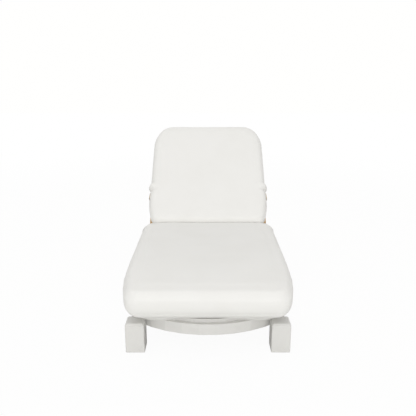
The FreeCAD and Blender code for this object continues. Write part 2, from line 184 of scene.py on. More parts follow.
stageSizes = {
    "floor": 14.0, "floorDrop": 0.0004, "floorColour": (0.86, 0.86, 0.85), "floorRoughness": 0.9,
    "floorGloss": 0.1, "floorWhite": 0.95, "farStart": 2.4, "farEnd": 6.0,
    "ambient": 1.135, "sideLoss": 1.0, "frontGain": 0.12, "ambientColour": (1.0, 0.998, 0.99),
}
lampSizes = {
    "key": {"place": (0.4, -8.5, 1.9), "aim": (0, -0.2, 0.4), "size": 3.6, "power": 118},
    "side": {"place": (-3.4, -1.6, 2.4), "aim": (0, -0.1, 0.3), "size": 2.4, "power": 6},
}


def makeWorld():
    world = bpy.data.worlds.new("studio")
    world.use_nodes = True
    tree = world.node_tree
    maker = Maker("studio", tree)
    background = tree.nodes["Background"]
    outputs = maker.node("ShaderNodeLightPath").socket.node.outputs
    seen = Value(maker, outputs["Is Camera Ray"]).math("MAXIMUM", Value(maker, outputs["Is Glossy Ray"]))
    seen = seen.math("MAXIMUM", Value(maker, outputs["Is Transmission Ray"]))
    # dimmer to both sides, a little brighter in front
    across, along, _ = maker.split(maker.node("ShaderNodeTexCoord", output="Generated"))
    front = 1 - along * stageSizes["frontGain"]
    ambient = (1 - across * across * stageSizes["sideLoss"]) * front * stageSizes["ambient"]
    maker.feed(background.inputs["Color"], stageSizes["ambientColour"])
    maker.feed(background.inputs["Strength"], seen + (1 - seen) * ambient)
    bpy.context.scene.world = world


def makeFloor():
    # White to the camera's own rays, and pale to all others, so it keeps the shadow
    half = stageSizes["floor"]
    drop = -stageSizes["floorDrop"]
    corners = [(-half, -half, drop), (half, -half, drop), (half, half, drop), (-half, half, drop)]
    mesh = bpy.data.meshes.new("floor")
    mesh.from_pydata(corners, [], [(0, 1, 2, 3)])
    floor = bpy.data.objects.new("floor", mesh)
    bpy.context.scene.collection.objects.link(floor)
    maker = Maker("paleFloor")
    maker.surface(BaseColor=stageSizes["floorColour"], Roughness=stageSizes["floorRoughness"])
    maker.gloss(stageSizes["floorGloss"])
    glow = maker.node("ShaderNodeEmission", None, {"Color": (1, 1, 1), "Strength": 1.0})
    cameraRay = maker.node("ShaderNodeLightPath", output="Is Camera Ray")
    away = maker.node("ShaderNodeVectorMath", {"operation": "LENGTH"}, {0: maker.place()}, "Value")
    far = maker.smooth(away, stageSizes["farStart"], stageSizes["farEnd"])
    share = cameraRay * (far * (1 - stageSizes["floorWhite"]) + stageSizes["floorWhite"])
    shader = Value(maker, maker.shader.outputs[0])
    both = maker.node("ShaderNodeMixShader", None, {0: share, 1: shader, 2: glow})
    maker.tree.links.new(both.socket, maker.tree.nodes["Material Output"].inputs["Surface"])
    mesh.materials.append(maker.material)


def makeLamps():
    for name, sizes in lampSizes.items():
        data = bpy.data.lights.new(name, "AREA")
        data.shape = "DISK"
        data.size = sizes["size"]
        data.energy = sizes["power"]
        lamp = bpy.data.objects.new(name, data)
        lamp.location = sizes["place"]
        lamp.rotation_mode = "QUATERNION"
        lamp.rotation_quaternion = (Vector(sizes["aim"]) - Vector(sizes["place"])).to_track_quat("-Z", "Y")
        bpy.context.scene.collection.objects.link(lamp)


makeWorld()
makeFloor()
makeLamps()
print("stage made")


# Materials

coverSizes = {
    "colour": (0.845, 0.838, 0.815), "shade": (0.80, 0.79, 0.76), "roughness": 0.52, "depth": 0.00012,
    "grain": 0.0016, "gloss": 0.35, "sheen": 0.06, "sheenRoughness": 0.5,
}


def coverMaterial():
    # A finely pebbled cover, a little darker in soft clouds
    sizes = coverSizes
    maker = Maker("softCover")
    spot = maker.place()
    cloud = maker.smooth(maker.noise(spot, 5.0, 3.0), 0.35, 0.75)
    warp = maker.noise(spot, 300.0, 1.0)
    cells = maker.node("ShaderNodeTexVoronoi", {"feature": "DISTANCE_TO_EDGE"}, {
        "Vector": spot, "Scale": 1 / sizes["grain"], "Randomness": 1.0})
    pebble = maker.smooth(cells, 0.0, 0.28)
    fine = maker.noise(spot, 1400.0, 2.0)
    maker.surface(
        BaseColor=maker.mix(cloud * 0.35 + (1 - pebble) * 0.12, sizes["colour"], sizes["shade"]),
        Roughness=sizes["roughness"] + warp * 0.08 - pebble * 0.04,
        Normal=maker.bump(pebble * 0.8 + fine * 0.25, sizes["depth"], 0.6),
        SheenWeight=sizes["sheen"], SheenRoughness=sizes["sheenRoughness"])
    maker.gloss(sizes["gloss"])
    return maker.material


lacquerSizes = {
    "colour": (0.715, 0.708, 0.685), "shade": (0.665, 0.655, 0.63), "roughness": 0.34, "depth": 0.00016,
    "grain": (60, 4, 60), "pores": (900, 40, 900), "coat": 0.12, "coatRoughness": 0.2,
}
grainTurns = {
    "upright": (math.radians(90), 0, 0),
    "lengthwise": (0, 0, 0),
    "crosswise": (0, 0, math.radians(90)),
}


def lacquerMaterial(way):
    # Satin lacquer over solid wood: the grain just reads through it
    sizes = lacquerSizes
    turn = grainTurns[way]
    maker = Maker("whiteLacquer" + way.capitalize())
    grain = maker.noise(maker.place(sizes["grain"], turn), 1.6, 4.0, 0.6, 0.4)
    pores = maker.smooth(maker.noise(maker.place(sizes["pores"], turn), 1.0, 2.0), 0.6, 0.75)
    cloud = maker.noise(maker.place(), 7.0, 2.0)
    peel = maker.noise(maker.place(), 420.0, 1.0)
    shade = maker.smooth(grain, 0.4, 0.8) * 0.3 + cloud * 0.2
    maker.surface(
        BaseColor=maker.mix(shade, sizes["colour"], sizes["shade"]),
        Roughness=sizes["roughness"] + grain * 0.12,
        Normal=maker.bump(grain * 0.5 - pores * 0.6 + peel * 0.2, sizes["depth"], 0.5),
        CoatWeight=sizes["coat"], CoatRoughness=sizes["coatRoughness"])
    return maker.material


oakSizes = {
    "light": (0.66, 0.45, 0.235), "dark": (0.45, 0.28, 0.125), "pore": (0.20, 0.12, 0.06), "roughness": 0.46,
    "depth": 0.0003, "stretch": (1, 0.05, 1), "rings": 48.0, "bend": (9, 0.9, 9), "pores": (1500, 38, 1500),
    "rays": (160, 70, 900),
}
oakTurns = {
    "Stile": (math.radians(-hinge["recline"]), 0, 0),
    "Cross": (0, 0, math.radians(90)),
    "Prop": (math.radians(-hinge["propSlope"]), 0, 0),
    "Rack": (math.radians(-hinge["rackSlope"]), 0, 0),
}


def oakMaterial(way):
    # Oiled oak: growth rings drawn out along the piece, open pores and rays
    sizes = oakSizes
    turn = oakTurns[way]
    maker = Maker("oak" + way)
    bend = maker.noise(maker.place(sizes["bend"], turn), 1.0, 3.0)
    wave = {"wave_type": "RINGS", "rings_direction": "Y", "wave_profile": "SAW"}
    rings = maker.node("ShaderNodeTexWave", wave, {
        "Vector": maker.place(sizes["stretch"], turn), "Scale": sizes["rings"], "Distortion": 3.2,
        "Detail": 3.0, "Detail Scale": 1.4, "Detail Roughness": 0.6})
    late = maker.smooth(rings, 0.45, 1.0)
    pores = maker.smooth(maker.noise(maker.place(sizes["pores"], turn), 1.0, 2.0), 0.58, 0.72)
    rays = maker.smooth(maker.noise(maker.place(sizes["rays"], turn), 1.0, 1.0), 0.66, 0.8)
    base = maker.mix(late * 0.6 + bend * 0.35, sizes["light"], sizes["dark"])
    base = maker.mix(pores * 0.55 * (0.4 + late), base, sizes["pore"])
    base = maker.mix(rays * 0.25, base, sizes["light"])
    maker.surface(
        BaseColor=base,
        Roughness=sizes["roughness"] + late * 0.1 - rays * 0.08,
        Normal=maker.bump(pores * -0.8 - late * 0.25, sizes["depth"], 0.7))
    return maker.material


beechSizes = {
    "light": (0.66, 0.46, 0.28), "dark": (0.52, 0.34, 0.19), "roughness": 0.5, "depth": 0.0001,
    "flecks": (700, 60, 260), "grain": (120, 8, 120),
}


def beechMaterial():
    sizes = beechSizes
    maker = Maker("beech")
    flecks = maker.smooth(maker.noise(maker.place(sizes["flecks"]), 1.0, 2.0), 0.56, 0.7)
    grain = maker.noise(maker.place(sizes["grain"]), 1.0, 3.0)
    maker.surface(
        BaseColor=maker.mix(flecks * 0.6 + grain * 0.3, sizes["light"], sizes["dark"]),
        Roughness=sizes["roughness"] + flecks * 0.1,
        Normal=maker.bump(flecks, sizes["depth"], 0.5))
    return maker.material


plySizes = {
    "face": (0.70, 0.54, 0.36), "streak": (0.58, 0.42, 0.26), "glue": (0.33, 0.22, 0.13), "roughness": 0.58,
    "depth": 0.00018, "ply": 0.0015, "underside": 0.0225, "streaks": (26, 2.2, 26), "fine": (420, 14, 420),
}


def plyMaterial():
    # Birch plywood: long faint streaks on the board's faces, plies on its edges
    sizes = plySizes
    turn = oakTurns["Stile"]
    maker = Maker("birchPlyBoard")
    streaks = maker.noise(maker.place(sizes["streaks"], turn), 1.0, 4.0, 0.6, 0.6)
    fine = maker.noise(maker.place(sizes["fine"], turn), 1.0, 2.0)
    height = maker.split(maker.place((1, 1, 1), turn))[2]
    low = sizes["underside"] + Vector(hinge["pivot"]).dot(Vector(backNormal))
    band = ((height - low) / (2 * sizes["ply"])).math("FRACT")
    edge = 1 - maker.smooth(maker.facing(backNormal), 0.3, 0.6)
    glue = maker.smooth(abs(band - 0.5), 0.42, 0.5)
    face = maker.mix(maker.smooth(streaks, 0.35, 0.7) * 0.6 + fine * 0.2, sizes["face"], sizes["streak"])
    plies = maker.mix((band > 0.5) * 0.55 + fine * 0.2, sizes["face"], sizes["streak"])
    plies = maker.mix(glue * 0.8, plies, sizes["glue"])
    maker.surface(
        BaseColor=maker.mix(edge, face, plies),
        Roughness=sizes["roughness"] + edge * 0.12,
        Normal=maker.bump(fine - glue * edge, sizes["depth"], 0.6))
    return maker.material


coatSizes = {"light": (0.71, 0.71, 0.70), "dark": (0.66, 0.66, 0.64), "roughness": 0.4, "depth": 0.0001}


def coatMaterial():
    sizes = coatSizes
    maker = Maker("whiteCoat")
    texture = maker.noise(maker.place(), 900.0, 2.0)
    cloud = maker.noise(maker.place(), 25.0, 2.0)
    maker.surface(
        BaseColor=maker.mix(cloud * 0.4, sizes["light"], sizes["dark"]),
        Roughness=sizes["roughness"] + texture * 0.12,
        Normal=maker.bump(texture, sizes["depth"], 0.5))
    return maker.material


zincSizes = {
    "colour": (0.66, 0.67, 0.68), "shade": 0.78, "roughness": 0.24, "depth": 0.00003,
    "brush": (60, 2400, 2400),
}


def zincMaterial():
    sizes = zincSizes
    maker = Maker("brightZinc")
    brushed = maker.noise(maker.place(sizes["brush"]), 1.0, 2.0)
    cloud = maker.noise(maker.place(), 60.0, 3.0)
    maker.surface(
        BaseColor=maker.mix(cloud * 0.6, sizes["colour"], tuple(c * sizes["shade"] for c in sizes["colour"])),
        Metallic=1.0,
        Roughness=sizes["roughness"] + brushed * 0.14 + cloud * 0.08,
        Normal=maker.bump(brushed, sizes["depth"], 0.4))
    return maker.material


feltSizes = {
    "dark": (0.10, 0.095, 0.09), "light": (0.22, 0.21, 0.20), "roughness": 0.9, "depth": 0.0006, "sheen": 0.3,
    "fibres": (700, 700, 2400),
}


def feltMaterial():
    sizes = feltSizes
    maker = Maker("greyFelt")
    fibres = maker.noise(maker.place(sizes["fibres"]), 1.0, 4.0, 0.7, 1.2)
    maker.surface(
        BaseColor=maker.mix(maker.smooth(fibres, 0.3, 0.7), sizes["dark"], sizes["light"]),
        Roughness=sizes["roughness"] + fibres * 0.08,
        Normal=maker.bump(fibres, sizes["depth"], 0.8),
        SheenWeight=sizes["sheen"])
    return maker.material


rubberSizes = {
    "black": (0.022, 0.022, 0.022), "dust": (0.06, 0.058, 0.055), "roughness": 0.62, "depth": 0.0004,
    "ribs": 90.0,
}


def rubberMaterial():
    sizes = rubberSizes
    maker = Maker("blackRubber")
    ribs = maker.node("ShaderNodeTexWave", {"wave_type": "BANDS", "bands_direction": "Y"}, {
        "Vector": maker.place(), "Scale": sizes["ribs"]})
    dust = maker.noise(maker.place(), 160.0, 3.0)
    maker.surface(
        BaseColor=maker.mix(maker.smooth(dust, 0.5, 0.8) * 0.5, sizes["black"], sizes["dust"]),
        Roughness=sizes["roughness"] + dust * 0.2,
        Normal=maker.bump(ribs, sizes["depth"], 0.6))
    return maker.material


nylonSizes = {
    "light": (0.74, 0.73, 0.69), "dark": (0.66, 0.64, 0.58), "roughness": 0.42, "depth": 0.00005,
    "turned": 260.0, "glow": 0.1, "glowReach": (0.002, 0.002, 0.002),
}


def nylonMaterial():
    # Turned nylon, which light enters a little way
    sizes = nylonSizes
    maker = Maker("naturalNylon")
    cloud = maker.noise(maker.place(), 90.0, 2.0)
    turned = maker.node("ShaderNodeTexWave", {"wave_type": "RINGS", "rings_direction": "X"}, {
        "Vector": maker.place(), "Scale": sizes["turned"]})
    maker.surface(
        BaseColor=maker.mix(cloud * 0.5, sizes["light"], sizes["dark"]),
        Roughness=sizes["roughness"] + cloud * 0.1,
        Normal=maker.bump(turned, sizes["depth"], 0.4),
        SubsurfaceWeight=sizes["glow"], SubsurfaceRadius=sizes["glowReach"])
    return maker.material


webSizes = {
    "light": (0.64, 0.52, 0.34), "dark": (0.46, 0.35, 0.20), "roughness": 0.72, "depth": 0.0004,
    "sheen": 0.15, "rib": 0.0019, "chevron": 0.007, "warp": 0.0011,
}


def webMaterial():
    # Tan webbing, woven in fine chevrons on the strap's own UV map, in metres
    sizes = webSizes
    maker = Maker("tanWebbing")
    along, wide, _ = maker.split(maker.node("ShaderNodeUVMap", {"uv_map": "weave"}))
    chevron = abs((wide / sizes["chevron"]).math("FRACT") - 0.5) * 2
    rib = maker.smooth(abs((along / sizes["rib"] + chevron).math("FRACT") - 0.5), 0.1, 0.5)
    warp = maker.smooth(abs((wide / sizes["warp"]).math("FRACT") - 0.5), 0.05, 0.5)
    fuzz = maker.noise(maker.place(), 1500.0, 2.0)
    maker.surface(
        BaseColor=maker.mix(rib * 0.6 + warp * 0.2 + fuzz * 0.2, sizes["light"], sizes["dark"]),
        Roughness=sizes["roughness"] + fuzz * 0.12,
        Normal=maker.bump(1 - rib * 0.7 - warp * 0.3, sizes["depth"], 0.8),
        SheenWeight=sizes["sheen"])
    return maker.material


threadSizes = {"light": (0.80, 0.79, 0.76), "dark": (0.70, 0.69, 0.65), "roughness": 0.55, "depth": 0.0001}


def threadMaterial():
    sizes = threadSizes
    maker = Maker("coverThread")
    twist = maker.noise(maker.place(), 2600.0, 1.0)
    maker.surface(
        BaseColor=maker.mix(twist, sizes["light"], sizes["dark"]),
        Roughness=sizes["roughness"] + twist * 0.15,
        Normal=maker.bump(twist, sizes["depth"], 0.5))
    return maker.material


cover = coverMaterial()
thread = threadMaterial()
zinc = zincMaterial()
webbing = webMaterial()
nylon = nylonMaterial()
lacquers = {way: lacquerMaterial(way) for way in grainTurns}
oaks = {way: oakMaterial(way) for way in oakTurns}
finishes = {
    lacquers["upright"]: ["front_leg_right", "front_leg_left", "rear_leg_right", "rear_leg_left"],
    lacquers["lengthwise"]: ["side_rail_right", "side_rail_left", "rest_blocks", "seat_deck"],
    lacquers["crosswise"]: ["front_apron", "front_shelf", "seat_cross_rail", "hinge_cross_rail", "rear_rail"],
    feltMaterial(): ["leg_glides"],
    beechMaterial(): ["frame_dowels"],
    plyMaterial(): ["back_board"],
    coatMaterial(): ["hinge_bracket_right", "hinge_bracket_left"],
    zinc: ["hinge_pin_right", "hinge_pin_left", "hinge_pin_clips", "bracket_screws", "rack_screws",
           "board_screws", "prop_pin_right", "prop_pin_left", "prop_nuts", "prop_spacers"],
    oaks["Stile"]: ["back_stile_right", "back_stile_left"],
    oaks["Cross"]: ["back_rail_bottom", "back_rail_lower", "back_rail_upper", "back_rail_top",
                    "prop_foot_bar", "prop_stretcher"],
    oaks["Prop"]: ["prop_arm_right", "prop_arm_left"],
    oaks["Rack"]: ["prop_rack_right", "prop_rack_left"],
    rubberMaterial(): ["rest_pads"],
    nylon: ["hinge_bushes", "prop_bushes"],
}
for material, names in finishes.items():
    for name in names:
        nodes[name].data.materials.clear()
        nodes[name].data.materials.append(material)
print("materials made")


# Mesh helpers

def addObject(name, mesh):
    made = bpy.data.objects.new(name, mesh)
    bpy.context.scene.collection.objects.link(made)
    return made


def drop(obj):
    bpy.data.objects.remove(obj)


def baked(obj):
    # The evaluated object as a plain mesh
    bpy.context.view_layer.update()
    graph = bpy.context.evaluated_depsgraph_get()
    return bpy.data.meshes.new_from_object(obj.evaluated_get(graph))


def modified(mesh, kind, **settings):
    # The mesh as one modifier leaves it
    obj = addObject("work", mesh)
    modifier = obj.modifiers.new("work", kind)
    for key, value in settings.items():
        setattr(modifier, key, value)
    made = baked(obj)
    drop(obj)
    return made


def opened(mesh):
    work = bmesh.new()
    work.from_mesh(mesh)
    return work


def closed(work, name):
    mesh = bpy.data.meshes.new(name)
    work.to_mesh(mesh)
    work.free()
    return mesh


def points(mesh):
    found = np.empty(len(mesh.vertices) * 3)
    mesh.vertices.foreach_get("co", found)
    return found.reshape(-1, 3)


def setPoints(mesh, found):
    mesh.vertices.foreach_set("co", found.ravel())
    mesh.update()


def pushed(mesh, push):
    # Moves each point along its own normal
    normals = np.empty(len(mesh.vertices) * 3, np.float32)
    mesh.vertex_normals.foreach_get("vector", normals)
    setPoints(mesh, points(mesh) + normals.reshape(-1, 3).astype(float) * push[:, None])


def smoothShade(mesh):
    mesh.polygons.foreach_set("use_smooth", [True] * len(mesh.polygons))


def joined(meshes):
    work = bmesh.new()
    for mesh in meshes:
        work.from_mesh(mesh)
    made = closed(work, "joined")
    smoothShade(made)
    return made


def bell(value, width):
    return np.exp(-(value / width) ** 2)


def ramp(value, reach):
    # Rises from 0 to 1 over the reach
    return np.clip(value / reach, 0, 1)


def finish(name, mesh, body, material):
    # Names a finished mesh and lets it ride on its body
    mesh.materials.clear()
    mesh.materials.append(material)
    mesh.name = name
    made = addObject(name, mesh)
    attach(made, body)
    return made


# Cushions

padSizes = {
    "frames": 20, "quality": 5, "pressure": 4.0, "mass": 0.35, "tension": 12.0, "bend": 0.8, "cap": 0.022,
    "merge": 1e-5, "smooth": 0.5, "close": 0.0002, "lift": 0.0002,
}


def solidCopy(node, turn=None):
    # The CAD solid's mesh, merged, and laid flat if it belongs to the back
    work = opened(nodes[node].data)
    bmesh.ops.remove_doubles(work, verts=work.verts, dist=padSizes["merge"])
    if turn is not None:
        work.transform(turn.inverted())
    return closed(work, node + "_copy")


def shrunk(mesh, by, floorAt):
    found = points(mesh)
    low, high = found.min(0), found.max(0)
    middle = (low + high) / 2
    middle[2] = floorAt
    scale = 1 - 2 * by / (high - low)
    scale[2] = 1 - by / (high - low)[2]
    setPoints(mesh, middle + (found - middle) * scale)


def relaxed(mesh, times):
    return modified(mesh, "SMOOTH", factor=padSizes["smooth"], iterations=times)


def puffed(mesh):
    # A short cloth run under pressure, with each point's travel capped
    sizes = padSizes
    obj = addObject("puff", mesh)
    cloth = obj.modifiers.new("cloth", "CLOTH")
    settings = cloth.settings
    settings.quality = sizes["quality"]
    settings.mass = sizes["mass"]
    settings.tension_stiffness = sizes["tension"]
    settings.compression_stiffness = sizes["tension"]
    settings.bending_stiffness = sizes["bend"]
    settings.use_pressure = True
    settings.uniform_pressure_force = sizes["pressure"]
    settings.effector_weights.gravity = 0
    cloth.collision_settings.use_collision = False
    cloth.point_cache.frame_start = 1
    cloth.point_cache.frame_end = sizes["frames"]
    start = points(mesh)
    scene = bpy.context.scene
    for step in range(1, sizes["frames"] + 1):
        scene.frame_set(step)
    after = baked(obj)
    scene.frame_set(1)
    drop(obj)
    move = points(after) - start
    length = np.linalg.norm(move, axis=1, keepdims=True)
    limit = np.minimum(length, sizes["cap"]) / np.maximum(length, 1e-9)
    setPoints(after, start + move * limit)
    return after


def held(mesh, solid, proud, sunk, zone=None):
    # Keeps the cover within a few millimetres of the solid's surface, or only the points in a zone
    work = opened(solid)
    bmesh.ops.recalc_face_normals(work, faces=work.faces)
    tree = BVHTree.FromBMesh(work)
    work.free()
    found = points(mesh)
    for i, spot in enumerate(found):
        if zone is not None and not zone(spot):
            continue
        near, normal, _, _ = tree.find_nearest(Vector(spot))
        offset = (Vector(spot) - near).dot(normal)
        found[i] = spot - np.array(normal) * (offset - min(max(offset, -sunk), proud))
    setPoints(mesh, found)


def padMesh(solid, sizes, closeZone):
    # A cushion's cover. The two cushions all but touch, so each keeps its full shape in that zone.
    first, second, last = sizes["smoothings"]
    work = solid.copy()
    shrunk(work, sizes["smaller"], sizes["base"])
    mesh = modified(work, "REMESH", mode="VOXEL", voxel_size=sizes["voxel"])
    mesh = relaxed(mesh, first)
    mesh = relaxed(puffed(mesh), second)
    held(mesh, solid, sizes["proud"], sizes["sunk"])
    mesh = modified(relaxed(mesh, last), "SUBSURF", levels=1, render_levels=1)
    held(mesh, solid, sizes["proud"], padSizes["close"], closeZone)
    return mesh


def seamGroove(mesh, sizes):
    height = points(mesh)[:, 2] - sizes["seamHeight"]
    pushed(mesh, -sizes["seamDepth"] * bell(height, sizes["seamWidth"]))


def rested(mesh, base):
    # No point sinks below the cushion's base
    found = points(mesh)
    found[:, 2] = np.maximum(found[:, 2], base + padSizes["lift"])
    setPoints(mesh, found)
    smoothShade(mesh)
    return mesh


seatSizes = {
    "voxel": 0.0095, "smaller": 0.007, "smoothings": (6, 3, 6), "proud": 0.0005, "sunk": 0.0025,
    "rearZone": -0.04, "base": 0.1683, "front": -0.950, "rear": 0.034,
    "seamHeight": 0.2205, "seamDepth": 0.0022, "seamWidth": 0.005,
    "slack": 0.007, "slackEnd": -0.62, "slackReach": 0.32, "slackLow": 0.27, "slackRise": 0.05,
    "gather": 0.0013, "gatherPitch": 0.026, "gatherStart": 0.27, "gatherRise": 0.1, "gatherMiddle": -0.4,
    "frontReach": 0.13, "rearReach": 0.16, "belowSeam": 0.012, "gatherHeight": 0.022, "overtone": 1.85,
    "overtoneShare": 0.5,
}


def seatMesh():
    sizes = seatSizes
    mesh = padMesh(solidCopy("seat_cushion"), sizes, lambda spot: spot[1] > sizes["rearZone"])
    # the foam gives a little along the front's upper edge
    found = points(mesh)
    near = ramp(sizes["slackEnd"] - found[:, 1], sizes["slackReach"])
    upper = ramp(found[:, 2] - sizes["slackLow"], sizes["slackRise"])
    found[:, 2] -= sizes["slack"] * near ** 2 * (3 - 2 * near) * upper
    setPoints(mesh, found)
    seamGroove(mesh, sizes)
    # the cover is gathered where it is drawn under at the corners
    x, y, z = points(mesh).T
    corner = ramp(np.abs(x) - sizes["gatherStart"], sizes["gatherRise"])
    ends = np.maximum(
        bell(y - sizes["front"], sizes["frontReach"]), bell(y - sizes["rear"], sizes["rearReach"]))
    under = bell(z - sizes["seamHeight"] + sizes["belowSeam"], sizes["gatherHeight"])
    run = np.abs(x) + y * np.where(y < sizes["gatherMiddle"], 1, -1)
    phase = run / sizes["gatherPitch"] * 2 * math.pi
    ripple = np.sin(phase) + sizes["overtoneShare"] * np.sin(phase * sizes["overtone"])
    pushed(mesh, sizes["gather"] * corner * ends * under * ripple)
    return rested(mesh, sizes["base"])


backSizes = {
    "voxel": 0.0088, "smaller": 0.006, "smoothings": (4, 2, 5), "proud": 0.0006, "sunk": 0.0015,
    "lowZone": 0.325, "base": 0.0348, "halfWidth": 0.380,
    "seamHeight": 0.062, "seamDepth": 0.002, "seamWidth": 0.005,
    "tuck": 0.332, "creaseReach": 0.060, "creaseFade": 1.5, "creaseLean": 0.05, "creaseLow": 0.02,
    "creaseRise": 0.03, "creaseDepth": 0.010, "creaseWidth": 0.0075, "swell": 0.009, "swellAbove": 0.030,
    "swellWidth": 0.018,
}


def backMesh():
    # Made lying flat, then carried to the reclined place
    sizes = backSizes
    mesh = padMesh(solidCopy("back_cushion", backTurn), sizes, lambda spot: spot[1] < sizes["lowZone"])
    seamGroove(mesh, sizes)
    # the strap draws a short crease into each side
    x, y, z = points(mesh).T
    inboard = sizes["halfWidth"] - np.abs(x)
    fade = ramp(sizes["creaseReach"] - inboard, sizes["creaseReach"]) ** sizes["creaseFade"]
    above = y - sizes["tuck"] + sizes["creaseLean"] * np.maximum(inboard, 0)
    upper = ramp(z - sizes["base"] - sizes["creaseLow"], sizes["creaseRise"])
    crease = sizes["creaseDepth"] * bell(above, sizes["creaseWidth"])
    swell = sizes["swell"] * bell(above - sizes["swellAbove"], sizes["swellWidth"])
    pushed(mesh, fade * upper * (swell - crease))
    return rested(mesh, sizes["base"])


seatFlat = seatMesh()
seatCushion = finish("seatCushion", seatFlat, "base", cover)
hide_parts("seat_cushion")
print("seat cushion made:", len(seatFlat.polygons), "faces")

backFlat = backMesh()
backShown = backFlat.copy()
backShown.transform(backTurn)
backCushion = finish("backCushion", backShown, "back", cover)
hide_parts("back_cushion")
print("back cushion made:", len(backFlat.polygons), "faces")


# Seams, stitches and zips, made by Geometry Nodes

class Tree:
    # A small Geometry Nodes tree with named inputs
    def __init__(self, name, inputs):
        self.group = bpy.data.node_groups.new(name, "GeometryNodeTree")
        sockets = self.group.interface
        for label, kind in {"Geometry": "Geometry", **inputs, "Material": "Material"}.items():
            sockets.new_socket(label, in_out="INPUT", socket_type="NodeSocket" + kind)
        sockets.new_socket("Geometry", in_out="OUTPUT", socket_type="NodeSocketGeometry")
        self.entry = self.group.nodes.new("NodeGroupInput")
        self.exit = self.group.nodes.new("NodeGroupOutput")

    def node(self, kind, settings=None, sockets=None):
        made = self.group.nodes.new(kind)
        for key, value in (settings or {}).items():
            setattr(made, key, value)
        for key, value in (sockets or {}).items():
            if isinstance(value, bpy.types.NodeSocket):
                self.group.links.new(value, made.inputs[key])
            else:
                made.inputs[key].default_value = value
        return made

    def given(self, label):
        return self.entry.outputs[label]

    def spaced(self):
        # Points along the curve, one at each pitch
        return self.node("GeometryNodeResampleCurve", {"mode": "LENGTH"}, {
            "Curve": self.given("Geometry"), "Length": self.given("Pitch")}).outputs[0]

    def placed(self, spots, shape, **sockets):
        # The shape at each of the points
        return self.node("GeometryNodeInstanceOnPoints", None, {
            "Points": spots, "Instance": shape.outputs[0], **sockets}).outputs[0]

    def rounded(self, geometry):
        return self.node("GeometryNodeSetShadeSmooth", None, {"Geometry": geometry}).outputs[0]

    def end(self, geometry):
        whole = self.node("GeometryNodeRealizeInstances", None, {"Geometry": geometry})
        painted = self.node("GeometryNodeSetMaterial", None, {
            "Geometry": whole.outputs[0], "Material": self.given("Material")})
        self.group.links.new(painted.outputs[0], self.exit.inputs[0])
        return self.group


def grown(name, obj, group, **values):
    # Runs a tree on an object and returns the plain mesh
    modifier = obj.modifiers.new(name, "NODES")
    modifier.node_group = group
    labels = {item.name: item.identifier for item in group.interface.items_tree if item.in_out == "INPUT"}
    for label, value in values.items():
        modifier[labels[label]] = value
    mesh = baked(obj)
    drop(obj)
    return mesh


def pipingTree():
    tree = Tree("piping", {"Radius": "Float"})
    circle = tree.node("GeometryNodeCurvePrimitiveCircle", None, {
        "Resolution": 8, "Radius": tree.given("Radius")})
    tube = tree.node("GeometryNodeCurveToMesh", None, {
        "Curve": tree.given("Geometry"), "Profile Curve": circle.outputs[0], "Fill Caps": True})
    return tree.end(tree.rounded(tube.outputs[0]))


def stitchTree():
    # A stitch at each step of the row, drawn out along it
    tree = Tree("stitches", {"Pitch": "Float", "Stitch": "Vector"})
    tangent = tree.node("GeometryNodeInputTangent")
    turn = tree.node("FunctionNodeAlignRotationToVector", {"axis": "Z"}, {"Vector": tangent.outputs[0]})
    bead = tree.node("GeometryNodeMeshUVSphere", None, {"Segments": 6, "Rings": 5, "Radius": 1.0})
    rows = tree.placed(tree.spaced(), bead, Rotation=turn.outputs[0], Scale=tree.given("Stitch"))
    return tree.end(tree.rounded(rows))


def teethTree():
    # Two rows of zip teeth that mesh, on a curve
    tree = Tree("zipTeeth", {"Pitch": "Float", "Tooth": "Vector", "Side": "Vector"})
    index = tree.node("GeometryNodeInputIndex")
    odd = tree.node("ShaderNodeMath", {"operation": "MODULO"}, {0: index.outputs[0], 1: 2.0})
    way = tree.node("ShaderNodeMath", {"operation": "MULTIPLY_ADD"}, {0: odd.outputs[0], 1: 2.0, 2: -1.0})
    offset = tree.node("ShaderNodeVectorMath", {"operation": "SCALE"}, {
        0: tree.given("Side"), "Scale": way.outputs[0]})
    moved = tree.node("GeometryNodeSetPosition", None, {
        "Geometry": tree.spaced(), "Offset": offset.outputs[0]})
    tooth = tree.node("GeometryNodeMeshCube", None, {"Size": (1.0, 1.0, 1.0)})
    return tree.end(tree.placed(moved.outputs[0], tooth, Scale=tree.given("Tooth")))


piping = pipingTree()
stitches = stitchTree()
teeth = teethTree()


def cutLoop(mesh, height):
    # The closed line where a level plane cuts the cover, in order
    work = opened(mesh)
    whole = work.verts[:] + work.edges[:] + work.faces[:]
    cut = bmesh.ops.bisect_plane(work, geom=whole, plane_co=(0, 0, height), plane_no=(0, 0, 1))["geom_cut"]
    nextTo = {}
    for edge in cut:
        if isinstance(edge, bmesh.types.BMEdge):
            a, b = edge.verts
            nextTo.setdefault(a, []).append(b)
            nextTo.setdefault(b, []).append(a)
    start = max(nextTo, key=lambda v: v.co.y)
    line, before, here = [start], None, start
    while True:
        onward = [v for v in nextTo[here] if v is not before and v not in line[1:]]
        if not onward or onward[0] is start:
            break
        before, here = here, onward[0]
        line.append(here)
    found = np.array([v.co for v in line])
    work.free()
    return found


def evened(line, step):
    # The same closed line in even steps, lightly smoothed
    whole = np.vstack([line, line[:1]])
    lengths = np.r_[0, np.cumsum(np.linalg.norm(np.diff(whole, axis=0), axis=1))]
    at = np.linspace(0, lengths[-1], int(lengths[-1] / step), endpoint=False)
    found = np.column_stack([np.interp(at, lengths, whole[:, i]) for i in range(3)])
    for _ in range(2):
        found = (np.roll(found, 1, 0) + found * 2 + np.roll(found, -1, 0)) / 4
    return found


